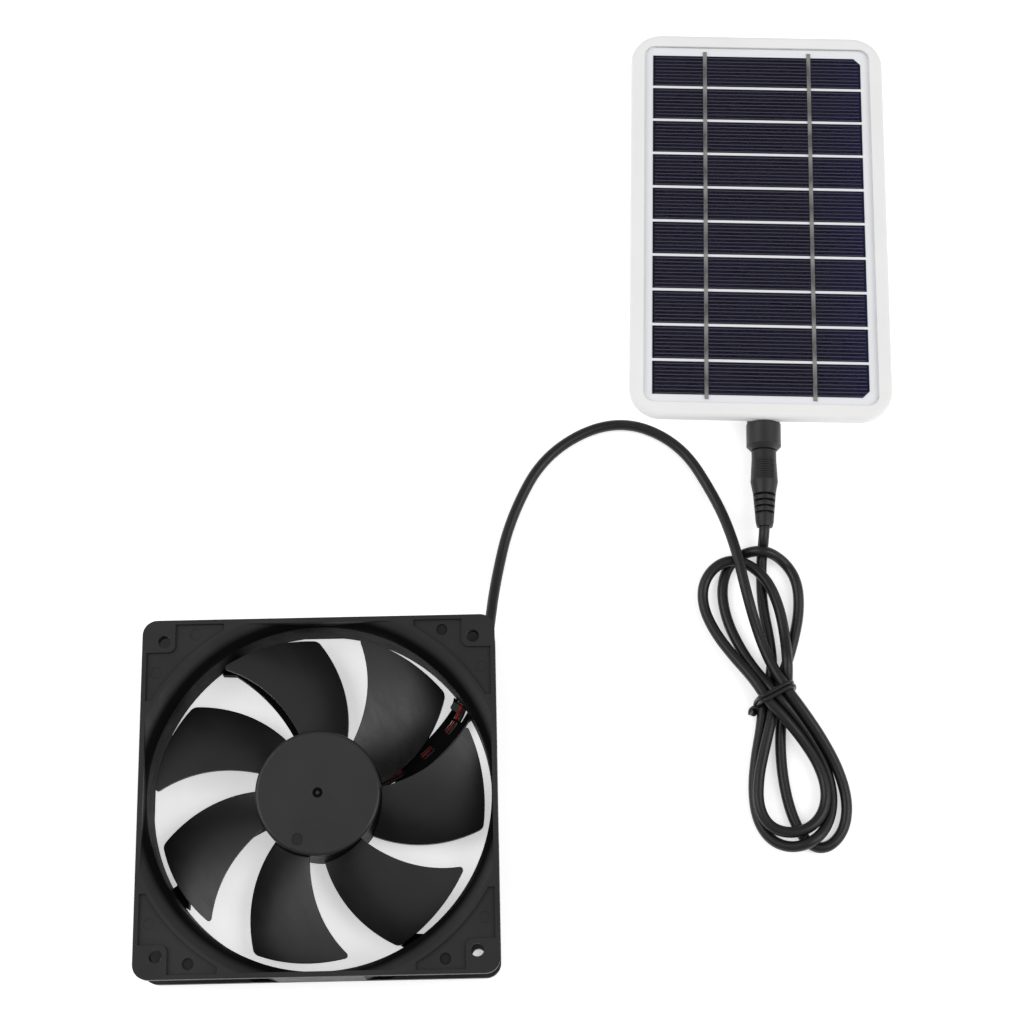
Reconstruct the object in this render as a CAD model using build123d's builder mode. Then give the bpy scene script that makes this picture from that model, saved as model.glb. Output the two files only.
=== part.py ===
from build123d import *
import math
import os

os.makedirs("parts", exist_ok=True)

# Solar attic fan: a 120 mm brushless fan, its cord tied in a hank, and a ten-cell solar panel.
# Origin: on the fan's axis, in its rear mounting face.  +Z leaves the intake side, which faces up.
# The fan and the panel lie on one surface at z = 0.  All lengths are in millimetres.

# ---------------------------------------------------------------- driving dimensions: fan
FAN_SIDE = 120.0
FAN_DEPTH = 25.0
FAN_CORNER_R = 5.0
FLANGE = 4.0
HOLE_PITCH = 105.0
HOLE_R = 2.15
THROAT_R = 58.0
BARREL_R = 61.7
SIDE_WALL = 1.7
INLET_R = 63.6
INLET_DEPTH = 6.5
OUTLET_R = 60.0
OUTLET_DEPTH = 3.0
INLET_BULGE = 0.7

POCKET_DEPTH = 1.0
POCKET_MARGIN = 1.5
POCKET_END = 32.3
RIDGE_R = 64.9
PAD_SIDE = 11.2
PAD_CORNER_R = 2.5
MARK_NEAR = 42.0
MARK_FAR = 55.1
MARK_R = 1.9
MARK_DEPTH = 0.8
FAINT_MARK_DEPTH = 0.15

BASE_R = 20.6
BASE_H = 4.5
BASE_RECESS = 0.5
BASE_RECESS_R = 18.6
BOSS_H = 3.1
LABEL_T = 0.3
LABEL_GAP = 0.1
STRUT_H = 4.2
STRUT_W = 5.6
WIRE_STRUT_W = 7.0
STRUT_START = (17.0, 4.6)
STRUT_MIDDLE = (35.4, 15.6)
STRUT_END = (49.6, 33.0)
STRUT_FOOT_W = 10.0
STRUT_FOOT_L = 4.5
CHANNEL_W = 3.4
CHANNEL_H = 3.0
WINDOW_L = 5.2
WINDOW_W = 3.0
WINDOW_CORNER_R = 0.8
WINDOW_AT = (0.22, 0.51, 0.78)
NOTCHES = ((0.06, 10.0), (0.93, 6.6))
NOTCH_LOW = 1.0

# ---------------------------------------------------------------- driving dimensions: rotor and motor
HUB_R = 21.0
HUB_WALL = 1.5
HUB_TOP = 24.9
HUB_BOTTOM = 5.2
HUB_ROOF = 1.7
HUB_EDGE_R = 1.2
BLADES = 7
BLADE_ROOT_R = 20.3
LEADING_TIP_R = 54.8
TRAILING_TIP_R = 55.8
LEADING_CORNER_R = 1.0
TRAILING_CORNER_R = 2.8
BLADE_T = 1.7
LEADING_Z = 21.0
TRAILING_Z = 6.4
LEADING_ANGLES = (56.3, 64.3, 75.8)
TRAILING_ANGLES = (15.1, 27.1, 40.5)
BLADE_CAMBER = 0.35
BLADE_MARGIN = 0.08
GATE_R = 1.7
GATE_DEPTH = 0.4
GATE_NUB_R = 0.6
GATE_NUB_H = 0.3
EJECTOR_R = 2.0
EJECTOR_DEPTH = 0.2
EJECTOR_AT = (-6.6, -15.4)

SHAFT_R = 1.5
SHAFT_LOW = 2.4
RUNNING_GAP = 0.03
BEARING_R = 3.5
BEARING_LOW = 3.6
BEARING_H = 12.0
TUBE_R = 4.5
TUBE_LOW = 1.5
TUBE_H = 16.0
PAD_T = 0.6
FELT_LOW = 15.7
FELT_H = 1.2
FELT_GAP = 0.5
CLIP_LOW = 2.8
CLIP_T = 0.45
CLIP_R = 2.9
CLIP_GROOVE = 0.35
BOSS_R = 6.0
SHAFT_BOSS_LOW = 18.6
CORE_LOW = 10.0
CORE_H = 6.0
CORE_HUB_R = 6.6
ARM_W = 4.0
ARM_R = 13.4
SHOE_R = 15.4
SHOE_T = 2.2
SHOE_ANGLE = 78.0
POLES = 4
BOBBIN_WALL = 0.7
BOBBIN_OVER = 1.0
COIL_T = 1.9
COIL_END = 12.2
YOKE_LOW = 7.0
YOKE_T = 1.0
MAGNET_R = 18.4
MAGNET_BORE_R = 15.9
MAGNET_LOW = 8.2
MAGNET_H = 11.0
BOARD_R = 17.5
BOARD_T = 1.0
HALL_AT = (10.6, -10.6)
HALL_H = 1.5
CHIP_AT = (-10.5, 0)
CHIP_H = 1.3
PIN_PITCH = 1.27
CAPACITOR_AT = (0, 11.0)
CAPACITOR_H = 1.2

# ---------------------------------------------------------------- driving dimensions: cord and plug
CORD_D = 3.8
LEAD_D = 1.3
LEAD_GAP = 0.02
LEAD_HEIGHTS = ((0.0, 3.6), (0.1, 2.9), (0.25, 1.9), (0.45, 1.6), (0.65, 1.6), (0.84, 1.8), (0.91, 3.4))
CLAMP_AT = 0.92
CLAMP_SHIFT = 1.9
CLAMP_T = 0.7
GROMMET_R = 2.7
GROMMET_L = 5.4
GROMMET_BACK = 0.8
FAN_CORD_ROUTE = [
    (48.9, 32.2, 6.0),
    (55.0, 39.5, 6.0),
    (57.9, 58.0, 8.9),
    (60.4, 77.0, 2.8),
    (66.2, 101.0, 2.0),
    (79.5, 125.5, 2.0),
    (105.0, 138.0, 2.0),
    (128.0, 128.5, 2.0),
    (140.6, 105.0, 3.6),
    (145.6, 86.5, 8.6),
]
HANK_LOW = 0.1
HANK_H = 9.5
HANK_EDGE_R = 1.5
LOWER_LOBE = ((169.2, -8.4, 10.7), (163.5, -9.5, 11.5), (157.5, -3.0, 11.4), (158.6, 23.5, 5.4))
UPPER_LOBE = ((141.8, 71.4, 10.5), (153.5, 74.0, 14.4), (160.0, 68.0, 9.8), (156.4, 44.2, 5.4))
WAIST_W = 11.4
WAIST_H = 7.6
WAIST_L = 16.0
WAIST_CORNER_R = 1.9
WAIST_AT = (157.2, 33.7, 5.2)
WAIST_ANGLE = 27.0
TIE_W = 3.4
TIE_T = 1.2
TAIL_R = 0.7
TAIL_L = 3.4
TAIL_TURN = 24

PLUG_END = 38.3
PLUG_CORD_L = 9.0
SLEEVE_START = 0.8
SLEEVE_END = 18.0
INSULATOR_R = 2.2
CONTACT_R = 1.4
CONTACT_BORE_R = 1.08
NECK_R = 4.4
NECK_END = 13.2
GRIP_R = 4.9
GRIP_END = 21.6
RIB_START = 13.9
RIB_PITCH = 0.88
RIB_COUNT = 8
RIB_T = 0.45
RIB_H = 0.3
RIB_W = 6.3
SLOT_START = 26.4
SLOT_PITCH = 2.2
SLOT_COUNT = 4
SLOT_T = 0.9
SLOT_WEB_W = 2.0
SLOT_CORE_R = 2.1

# ---------------------------------------------------------------- driving dimensions: panel
PANEL_X = 159.9
PANEL_Y = 209.0
PANEL_TURN = -2.485
PANEL_W = 94.6
PANEL_L = 153.0
PANEL_CORNER_R = 11.5
RIM_LOW = 10.0
RIM_TOP = 15.2
RIM_EDGE_R = 2.0
LAMINATE_W = 84.4
LAMINATE_L = 142.6
LAMINATE_CORNER_R = 4.0
LAMINATE_LOW = 13.2
SHEET_T = 0.6
CELL_T = 0.2
CELL_W = 78.0
CELL_H = 12.6
CELL_GAP = 1.1
CELL_COUNT = 10
CELL_CHAMFER = 2.5
RIBBON_W = 1.4
RIBBON_T = 0.2
RIBBON_AT = 19.5
RIBBON_OVER = 1.7
FILM_T = 0.9
GLUE_T = 0.03
OUTLET_V = -50.4
OUTLET_W = 14.0
OUTLET_L = 6.0

CASE_W = 86.0
CASE_L = 144.6
CASE_CORNER_R = 8.0
CASE_WALL = 2.0
SCREW_U = 36.0
SCREW_V = 65.0
POST_R = 3.4
SCREW_R = 1.2
SCREW_HEAD_R = 2.6
SCREW_HEAD_H = 1.6
SCREW_SUNK = 0.4
OUTPUT_BOARD_V = -48.0
OUTPUT_BOARD_W = 34.0
OUTPUT_BOARD_L = 20.0
OUTPUT_BOARD_T = 1.2
STANDOFF_R = 1.6
STANDOFF_H = 1.0
DIODE_R = 1.35
DIODE_L = 5.0
PANEL_LEAD_Z = 8.8
PANEL_LEAD_RUN = 8.0

JACK_U = 1.6
JACK_Z = 6.7
JACK_R = 6.2
JACK_FACE = 9.9
JACK_FACE_R = 4.6
JACK_CHAMFER_AT = 8.2
JACK_NECK_R = 3.2
JACK_SHANK_R = 5.9
JACK_SHANK_L = 4.1
JACK_BODY_L = 8.0
BARREL_BORE_R = 2.85
PLUG_BARREL_R = 2.75
PIN_R = 1.0
PIN_START = -14.0
PIN_L = 22.0
SPRING_T = 0.3
SPRING_START = 1.0

# ---------------------------------------------------------------- derived values
PANEL = Plane(
    origin=(PANEL_X, PANEL_Y, 0),
    x_dir=(math.cos(math.radians(PANEL_TURN)), math.sin(math.radians(PANEL_TURN)), 0),
    z_dir=(0, 0, 1),
)
CELL_LOW = LAMINATE_LOW + SHEET_T
FIELD_L = CELL_COUNT * CELL_H + (CELL_COUNT - 1) * CELL_GAP
JACK_ORIGIN = PANEL.from_local_coords((JACK_U, -PANEL_L / 2, JACK_Z))
JACK_AXIS = Plane(origin=JACK_ORIGIN, x_dir=PANEL.x_dir, z_dir=-PANEL.y_dir)


def save(piece, label):
    """Name a finished piece and write its STEP file."""
    piece.part.label = label
    export_step(piece.part, f"parts/{label}.step")


def turned(outline, plane=JACK_AXIS):
    """Turn a half profile, given as (radius, distance along the plug's axis), about that axis."""
    half = Plane(origin=plane.origin, x_dir=plane.x_dir, z_dir=-plane.y_dir)
    with BuildSketch(half) as profile:
        with BuildLine():
            Polyline(*outline, close=True)
        make_face()
    return revolve(profile.sketch, axis=Axis(plane.origin, plane.z_dir), mode=Mode.PRIVATE)


def cord_path(points):
    """A route of straight runs joined by tangent arcs, with the radii that its runs allow."""
    radii = []
    for before, corner, after in zip(points, points[1:], points[2:]):
        first = Vector(corner) - Vector(before)
        second = Vector(after) - Vector(corner)
        half_turn = math.radians(first.get_angle(second)) / 2
        radii.append(0.45 * min(first.length, second.length) / math.tan(half_turn))
    return FilletPolyline(*points, radius=radii, mode=Mode.PRIVATE)


def quadratic(values, t):
    """The parabola through values at t = 0, 0.5 and 1."""
    low, middle, high = values
    return low * (1 - t) * (1 - 2 * t) + middle * 4 * t * (1 - t) + high * t * (2 * t - 1)


# ================================================================ fan frame
# The inlet is a shallow bell, cut off by the flat side walls where it meets them.
with BuildPart() as inlet_bell:
    with BuildSketch(Plane.XZ):
        with BuildLine():
            low = FAN_DEPTH - INLET_DEPTH
            middle_r = (THROAT_R + INLET_R) / 2
            Polyline((0, FAN_DEPTH), (0, low), (THROAT_R, low))
            ThreePointArc(
                (THROAT_R, low),
                (middle_r - INLET_BULGE, low + INLET_DEPTH / 2 + INLET_BULGE),
                (INLET_R, FAN_DEPTH),
            )
            Line((INLET_R, FAN_DEPTH), (0, FAN_DEPTH))
        make_face()
    revolve(axis=Axis.Z)
    with BuildSketch():
        Rectangle(FAN_SIDE - 2 * SIDE_WALL, FAN_SIDE - 2 * SIDE_WALL)
    extrude(amount=FAN_DEPTH, mode=Mode.INTERSECT)

with BuildPart() as outlet_bell:
    with BuildSketch():
        Circle(OUTLET_R)
    with BuildSketch(Plane.XY.offset(OUTLET_DEPTH)):
        Circle(THROAT_R)
    loft()
    with BuildSketch():
        Rectangle(FAN_SIDE - 2 * SIDE_WALL, FAN_SIDE - 2 * SIDE_WALL)
    extrude(amount=FAN_DEPTH, mode=Mode.INTERSECT)

# The four struts leave the motor base in a gentle curve and widen into a foot at the barrel.
with BuildLine() as strut_line:
    strut_arc = ThreePointArc(STRUT_START, STRUT_MIDDLE, STRUT_END)
strut_out = strut_arc % 1
strut_tail = strut_arc @ 1
strut_side = Vector(-strut_out.Y, strut_out.X)


def strut_outline(width):
    """A strut's plan: the curved band and its foot."""
    with BuildSketch() as outline:
        with BuildLine():
            ThreePointArc(STRUT_START, STRUT_MIDDLE, STRUT_END)
        trace(line_width=width)
        with BuildLine():
            near = strut_tail - strut_out * STRUT_FOOT_L
            corners = [
                near + strut_side * (width / 2),
                near - strut_side * (width / 2),
                strut_tail - strut_side * (STRUT_FOOT_W / 2),
                strut_tail + strut_side * (STRUT_FOOT_W / 2),
            ]
            Polyline(*[(point.X, point.Y) for point in corners], close=True)
        make_face()
    return outline.sketch


EXIT_START = Vector(FAN_CORD_ROUTE[0])
EXIT_DIRECTION = (Vector(FAN_CORD_ROUTE[1]) - EXIT_START).normalized()
GROMMET_PLANE = Plane(origin=EXIT_START - EXIT_DIRECTION * GROMMET_BACK, z_dir=EXIT_DIRECTION)

with BuildPart() as fan_frame:
    for level in (0, FAN_DEPTH - FLANGE):
        with BuildSketch(Plane.XY.offset(level)):
            RectangleRounded(FAN_SIDE, FAN_SIDE, FAN_CORNER_R)
        extrude(amount=FLANGE)
    with BuildSketch():
        Circle(BARREL_R)
        Rectangle(FAN_SIDE, FAN_SIDE, mode=Mode.INTERSECT)
    extrude(amount=FAN_DEPTH)
    with BuildSketch():
        Circle(THROAT_R)
    extrude(amount=FAN_DEPTH, mode=Mode.SUBTRACT)
    add(inlet_bell.part, mode=Mode.SUBTRACT)
    add(outlet_bell.part, mode=Mode.SUBTRACT)
    # Shallow corner pockets, each with a raised pad round its screw hole.
    pocket_side = FAN_SIDE / 2 - POCKET_MARGIN - POCKET_END
    pocket_middle = POCKET_END + pocket_side / 2
    pad_side = PAD_SIDE + 2 * PAD_CORNER_R
    pad_middle = FAN_SIDE / 2 - PAD_SIDE + pad_side / 2
    with BuildSketch(Plane.XY.offset(FAN_DEPTH)):
        with GridLocations(2 * pocket_middle, 2 * pocket_middle, 2, 2):
            Rectangle(pocket_side, pocket_side)
        Circle(RIDGE_R, mode=Mode.SUBTRACT)
        with GridLocations(2 * pad_middle, 2 * pad_middle, 2, 2):
            RectangleRounded(pad_side, pad_side, PAD_CORNER_R, mode=Mode.SUBTRACT)
    extrude(amount=-POCKET_DEPTH, mode=Mode.SUBTRACT)
    # Round marks in the pocket floors: one deep and one faint in each corner.
    floor_level = FAN_DEPTH - POCKET_DEPTH
    with BuildSketch(Plane.XY.offset(floor_level)):
        with Locations((MARK_NEAR, MARK_FAR), (MARK_NEAR, -MARK_FAR), (-MARK_NEAR, -MARK_FAR)):
            Circle(MARK_R)
    extrude(amount=-MARK_DEPTH, mode=Mode.SUBTRACT)
    with BuildSketch(Plane.XY.offset(floor_level)):
        with GridLocations(2 * MARK_FAR, 2 * MARK_NEAR, 2, 2):
            Circle(MARK_R)
        with Locations((-MARK_NEAR, MARK_FAR)):
            Circle(MARK_R)
    extrude(amount=-FAINT_MARK_DEPTH, mode=Mode.SUBTRACT)
    with Locations((0, 0, FAN_DEPTH)):
        with GridLocations(HOLE_PITCH, HOLE_PITCH, 2, 2):
            Hole(HOLE_R)
    # Struts and the motor base.
    for quarter in range(4):
        with BuildSketch(Plane.XY.rotated((0, 0, 90 * quarter))):
            add(strut_outline(WIRE_STRUT_W if quarter == 0 else STRUT_W))
        extrude(amount=STRUT_H)
    with BuildSketch():
        Circle(BASE_R)
    extrude(amount=BASE_H)
    with BuildSketch(Plane.XY.offset(BASE_H)):
        Circle(BOSS_R)
    extrude(amount=BOSS_H)
    with BuildSketch(Plane.XY.offset(TUBE_LOW)):
        Circle(TUBE_R)
    extrude(amount=FAN_DEPTH, mode=Mode.SUBTRACT)
    with BuildSketch():
        Circle(BASE_RECESS_R)
    extrude(amount=BASE_RECESS, mode=Mode.SUBTRACT)
    # The wire channel under the first strut, and its three windows.
    with BuildSketch():
        with BuildLine():
            ThreePointArc(STRUT_START, STRUT_MIDDLE, STRUT_END)
        trace(line_width=CHANNEL_W)
        Circle(BASE_R + 0.6, mode=Mode.SUBTRACT)
    extrude(amount=CHANNEL_H, mode=Mode.SUBTRACT)
    for share in WINDOW_AT:
        spot = strut_arc @ share
        way = strut_arc % share
        slant = math.degrees(math.atan2(way.Y, way.X))
        with BuildSketch():
            with Locations(Location((spot.X, spot.Y, 0), (0, 0, slant))):
                RectangleRounded(WINDOW_L, WINDOW_W, WINDOW_CORNER_R)
        extrude(amount=STRUT_H + 1, mode=Mode.SUBTRACT)
    # The leads come down from the board, and rise to the cord, through notches at the strut's ends.
    for share, length in NOTCHES:
        spot = strut_arc @ share
        way = strut_arc % share
        slant = math.degrees(math.atan2(way.Y, way.X))
        with BuildSketch(Plane.XY.offset(NOTCH_LOW)):
            with Locations(Location((spot.X, spot.Y, 0), (0, 0, slant))):
                Rectangle(length, CHANNEL_W)
        extrude(amount=BASE_H, mode=Mode.SUBTRACT)
    # The cord leaves through a round hole in the barrel.
    with BuildSketch(GROMMET_PLANE):
        Circle(GROMMET_R)
    extrude(amount=GROMMET_L + 2, both=True, mode=Mode.SUBTRACT)
save(fan_frame, "fan_frame")


# ================================================================ bearing and stator
with BuildPart() as bearing_tube:
    with BuildSketch(Plane.XY.offset(TUBE_LOW)):
        Circle(TUBE_R)
        Circle(BEARING_R, mode=Mode.SUBTRACT)
    extrude(amount=TUBE_H)
    chamfer(bearing_tube.edges().group_by(Axis.Z)[-1], 0.3)
save(bearing_tube, "bearing_tube")

with BuildPart() as thrust_pad:
    with BuildSketch(Plane.XY.offset(TUBE_LOW)):
        Circle(BEARING_R)
    extrude(amount=PAD_T)
save(thrust_pad, "thrust_pad")

with BuildPart() as sleeve_bearing:
    with BuildSketch(Plane.XY.offset(BEARING_LOW)):
        Circle(BEARING_R)
        Circle(SHAFT_R + RUNNING_GAP, mode=Mode.SUBTRACT)
    extrude(amount=BEARING_H)
    chamfer(sleeve_bearing.edges().filter_by(GeomType.CIRCLE).sort_by(SortBy.RADIUS)[-2:], 0.25)
save(sleeve_bearing, "sleeve_bearing")

with BuildPart() as oil_felt:
    with BuildSketch(Plane.XY.offset(FELT_LOW)):
        Circle(BEARING_R)
        Circle(SHAFT_R + FELT_GAP, mode=Mode.SUBTRACT)
    extrude(amount=FELT_H)
save(oil_felt, "oil_felt")

with BuildPart() as rear_label:
    with BuildSketch():
        Circle(BASE_RECESS_R - LABEL_GAP)
    extrude(amount=LABEL_T)
save(rear_label, "rear_label")

with BuildPart() as stator_core:
    with BuildSketch(Plane.XY.offset(CORE_LOW)):
        Circle(CORE_HUB_R)
        with PolarLocations(ARM_R / 2, POLES):
            Rectangle(ARM_R, ARM_W)
        Circle(TUBE_R, mode=Mode.SUBTRACT)
    extrude(amount=CORE_H)
    with BuildSketch(Plane.XY.offset(CORE_LOW)):
        for pole in range(POLES):
            with BuildLine(Plane.XY.rotated((0, 0, 90 * pole))):
                CenterArc((0, 0), SHOE_R - SHOE_T / 2, -SHOE_ANGLE / 2, SHOE_ANGLE)
            trace(line_width=SHOE_T)
    extrude(amount=CORE_H)
save(stator_core, "stator_core")

arm_cover_w = ARM_W + 2 * BOBBIN_WALL
bobbin_end_r = SHOE_R - SHOE_T - 0.1
bobbin_low = CORE_LOW - BOBBIN_OVER
bobbin_top = CORE_LOW + CORE_H + BOBBIN_OVER
core_middle = CORE_LOW + CORE_H / 2


def bobbin(level, height):
    """One half of the moulded insulator that wraps the core's arms."""
    with BuildPart() as half:
        with BuildSketch(Plane.XY.offset(level)):
            Circle(CORE_HUB_R + BOBBIN_WALL)
            with PolarLocations(bobbin_end_r / 2, POLES):
                Rectangle(bobbin_end_r, arm_cover_w)
            Circle(TUBE_R + 0.1, mode=Mode.SUBTRACT)
        extrude(amount=height)
        add(stator_core.part, mode=Mode.SUBTRACT)
    return half


lower_bobbin = bobbin(bobbin_low, core_middle - bobbin_low)
save(lower_bobbin, "lower_bobbin")
upper_bobbin = bobbin(core_middle, bobbin_top - core_middle)
save(upper_bobbin, "upper_bobbin")

coil_start = CORE_HUB_R + 1.0
coil_length = COIL_END - coil_start
bobbin_h = bobbin_top - bobbin_low
for pole in range(POLES):
    arm_angle = math.radians(90 * pole)
    arm_out = Vector(math.cos(arm_angle), math.sin(arm_angle), 0)
    arm_side = (-arm_out.Y, arm_out.X, 0)
    coil_plane = Plane(origin=arm_out * coil_start, x_dir=arm_side, z_dir=arm_out)
    with BuildPart() as winding:
        with BuildSketch(coil_plane):
            with Locations((0, core_middle)):
                RectangleRounded(arm_cover_w + 2 * COIL_T, bobbin_h + 2 * COIL_T, COIL_T * 0.9)
                Rectangle(arm_cover_w, bobbin_h, mode=Mode.SUBTRACT)
        extrude(amount=coil_length)
    save(winding, f"winding_{pole + 1}")

# ================================================================ driver board
with BuildPart() as driver_board:
    with BuildSketch(Plane.XY.offset(BASE_H)):
        Circle(BOARD_R)
        Circle(BOSS_R + 0.1, mode=Mode.SUBTRACT)
        with Locations((BOARD_R, 5.6)):
            Rectangle(4.0, CHANNEL_W, mode=Mode.SUBTRACT)
    extrude(amount=BOARD_T)
save(driver_board, "driver_board")

board_top = BASE_H + BOARD_T
with BuildPart() as hall_sensor:
    with BuildSketch(Plane.XY.offset(board_top)):
        with Locations(HALL_AT):
            Rectangle(3.0, 4.0, rotation=45)
    extrude(amount=HALL_H)
    chamfer(hall_sensor.faces().sort_by(Axis.Z)[-1].edges(), 0.3)
save(hall_sensor, "hall_sensor")

with BuildPart() as driver_chip:
    with BuildSketch(Plane.XY.offset(board_top)):
        with Locations(CHIP_AT):
            Rectangle(4.0, 5.0)
    extrude(amount=CHIP_H)
    chamfer(driver_chip.faces().sort_by(Axis.Z)[-1].edges(), 0.2)
    with BuildSketch(Plane.XY.offset(board_top)):
        with Locations(CHIP_AT):
            with GridLocations(5.2, PIN_PITCH, 2, 4):
                Rectangle(1.2, 0.45)
    extrude(amount=0.3)
save(driver_chip, "driver_chip")

with BuildPart() as board_capacitor:
    with BuildSketch(Plane.XY.offset(board_top)):
        with Locations(CAPACITOR_AT):
            Rectangle(3.2, 1.6)
    extrude(amount=CAPACITOR_H)
    fillet(board_capacitor.edges().filter_by(Axis.Y), 0.25)
save(board_capacitor, "board_capacitor")

# ================================================================ rotor
# One blade is a smooth sheet, thickened both ways and cut to its plan, with rounded tip corners.
# Its height follows the share of the chord, steeper at the trailing edge than at the leading edge.
def blade_point(out, share):
    """A point of the blade's sheet: out from root to tip, share from trailing to leading edge."""
    tip_r = TRAILING_TIP_R + (LEADING_TIP_R - TRAILING_TIP_R) * share
    radius = BLADE_ROOT_R + (tip_r - BLADE_ROOT_R) * out
    low_angle = quadratic(TRAILING_ANGLES, out)
    high_angle = quadratic(LEADING_ANGLES, out)
    angle = math.radians(low_angle + (high_angle - low_angle) * share)
    rise = share * (1 + BLADE_CAMBER - BLADE_CAMBER * share)
    height = TRAILING_Z + (LEADING_Z - TRAILING_Z) * rise
    return Vector(radius * math.cos(angle), radius * math.sin(angle), height)


def shares(first, last, steps):
    """Evenly spaced numbers from first to last."""
    return [first + (last - first) * i / steps for i in range(steps + 1)]


wide = [
    [blade_point(out, share) for share in shares(-BLADE_MARGIN, 1 + BLADE_MARGIN, 8)]
    for out in shares(0, 1 + BLADE_MARGIN, 6)
]
blade_sheet = Face.make_surface_from_array_of_points(wide, tol=0.01)
trailing_edge = [(point.X, point.Y) for point in (blade_point(out, 0) for out in shares(0, 1, 6))]
tip_edge = [(point.X, point.Y) for point in (blade_point(1, share) for share in shares(0, 1, 6))]
leading_edge = [(point.X, point.Y) for point in (blade_point(out, 1) for out in shares(1, 0, 6))]
with BuildPart() as blade:
    thicken(to_thicken=blade_sheet, amount=BLADE_T / 2, both=True)
    with BuildSketch() as blade_plan:
        with BuildLine():
            Spline(*trailing_edge)
            Spline(*tip_edge)
            Spline(*leading_edge)
            Line(leading_edge[-1], trailing_edge[0])
        make_face()
        for corner, corner_r in ((tip_edge[0], TRAILING_CORNER_R), (tip_edge[-1], LEADING_CORNER_R)):
            fillet(blade_plan.vertices().sort_by_distance(corner)[0], corner_r)
    extrude(amount=HUB_TOP, mode=Mode.INTERSECT)

with BuildPart() as impeller:
    with BuildSketch(Plane.XY.offset(HUB_BOTTOM)):
        Circle(HUB_R)
    extrude(amount=HUB_TOP - HUB_BOTTOM)
    fillet(impeller.edges().group_by(Axis.Z)[-1], HUB_EDGE_R)
    for number in range(BLADES):
        add(blade.part.rotate(Axis.Z, number * 360 / BLADES))
    with BuildSketch(Plane.XY.offset(HUB_BOTTOM - 2)):
        Circle(HUB_R - HUB_WALL)
    extrude(amount=HUB_TOP - HUB_BOTTOM - HUB_ROOF + 2, mode=Mode.SUBTRACT)
    # The gate mark in the middle of the hub, with its nub, and one ejector mark.
    with BuildSketch(Plane.XY.offset(HUB_TOP)):
        Circle(GATE_R)
    extrude(amount=-GATE_DEPTH, mode=Mode.SUBTRACT)
    with BuildSketch(Plane.XY.offset(HUB_TOP - GATE_DEPTH)):
        Circle(GATE_NUB_R)
    extrude(amount=GATE_NUB_H)
    with BuildSketch(Plane.XY.offset(HUB_TOP)):
        with Locations(EJECTOR_AT):
            Circle(EJECTOR_R)
    extrude(amount=-EJECTOR_DEPTH, mode=Mode.SUBTRACT)
save(impeller, "impeller")

roof_low = HUB_TOP - HUB_ROOF
with BuildPart() as rotor_yoke:
    with BuildSketch(Plane.XY.offset(YOKE_LOW)):
        Circle(HUB_R - HUB_WALL)
    extrude(amount=roof_low - YOKE_LOW)
    with BuildSketch(Plane.XY.offset(YOKE_LOW)):
        Circle(MAGNET_R)
    extrude(amount=roof_low - YOKE_LOW - YOKE_T, mode=Mode.SUBTRACT)
    with Locations((0, 0, roof_low)):
        Hole(BEARING_R)
save(rotor_yoke, "rotor_yoke")

with BuildPart() as rotor_magnet:
    with BuildSketch(Plane.XY.offset(MAGNET_LOW)):
        Circle(MAGNET_R)
        Circle(MAGNET_BORE_R, mode=Mode.SUBTRACT)
    extrude(amount=MAGNET_H)
    chamfer(rotor_magnet.edges().filter_by(GeomType.CIRCLE).sort_by(SortBy.RADIUS)[:2], 0.3)
save(rotor_magnet, "rotor_magnet")

with BuildPart() as shaft_boss:
    with BuildSketch(Plane.XY.offset(SHAFT_BOSS_LOW)):
        Circle(BEARING_R)
        Circle(SHAFT_R, mode=Mode.SUBTRACT)
    extrude(amount=roof_low - SHAFT_BOSS_LOW)
save(shaft_boss, "shaft_boss")

with BuildPart() as rotor_shaft:
    with BuildSketch(Plane.XY.offset(SHAFT_LOW)):
        Circle(SHAFT_R)
    extrude(amount=roof_low - SHAFT_LOW)
    with BuildSketch(Plane.XY.offset(CLIP_LOW)):
        Circle(SHAFT_R)
        Circle(SHAFT_R - CLIP_GROOVE, mode=Mode.SUBTRACT)
    extrude(amount=CLIP_T, mode=Mode.SUBTRACT)
    chamfer(rotor_shaft.edges().group_by(Axis.Z)[0], 0.3)
save(rotor_shaft, "rotor_shaft")

with BuildPart() as shaft_clip:
    with BuildSketch(Plane.XY.offset(CLIP_LOW)):
        Circle(CLIP_R)
        Circle(SHAFT_R - CLIP_GROOVE, mode=Mode.SUBTRACT)
        with Locations((2.5, 0)):
            Rectangle(3.0, 0.8, mode=Mode.SUBTRACT)
    extrude(amount=CLIP_T)
save(shaft_clip, "shaft_clip")

# ================================================================ leads, clip and grommet
# The two leads run from the board through the strut's channel and rise into the cord's end.
lead_shift = (LEAD_D + LEAD_GAP) / 2


def lead(side):
    """One lead, shifted sideways from the strut's centre line."""
    points = []
    for share, height in LEAD_HEIGHTS:
        spot = strut_arc @ share
        way = strut_arc % share
        points.append((spot.X - way.Y * side, spot.Y + way.X * side, height))
    end = EXIT_START - EXIT_DIRECTION * 0.55
    points.append((end.X - EXIT_DIRECTION.Y * side, end.Y + EXIT_DIRECTION.X * side, EXIT_START.Z - 0.5))
    path = cord_path(points)
    with BuildPart() as wire:
        with BuildSketch(Plane(origin=path @ 0, z_dir=path % 0)):
            Circle(LEAD_D / 2)
        sweep(path=path)
    return wire


lead_red = lead(lead_shift)
save(lead_red, "lead_red")
lead_black = lead(-lead_shift)
save(lead_black, "lead_black")

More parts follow.
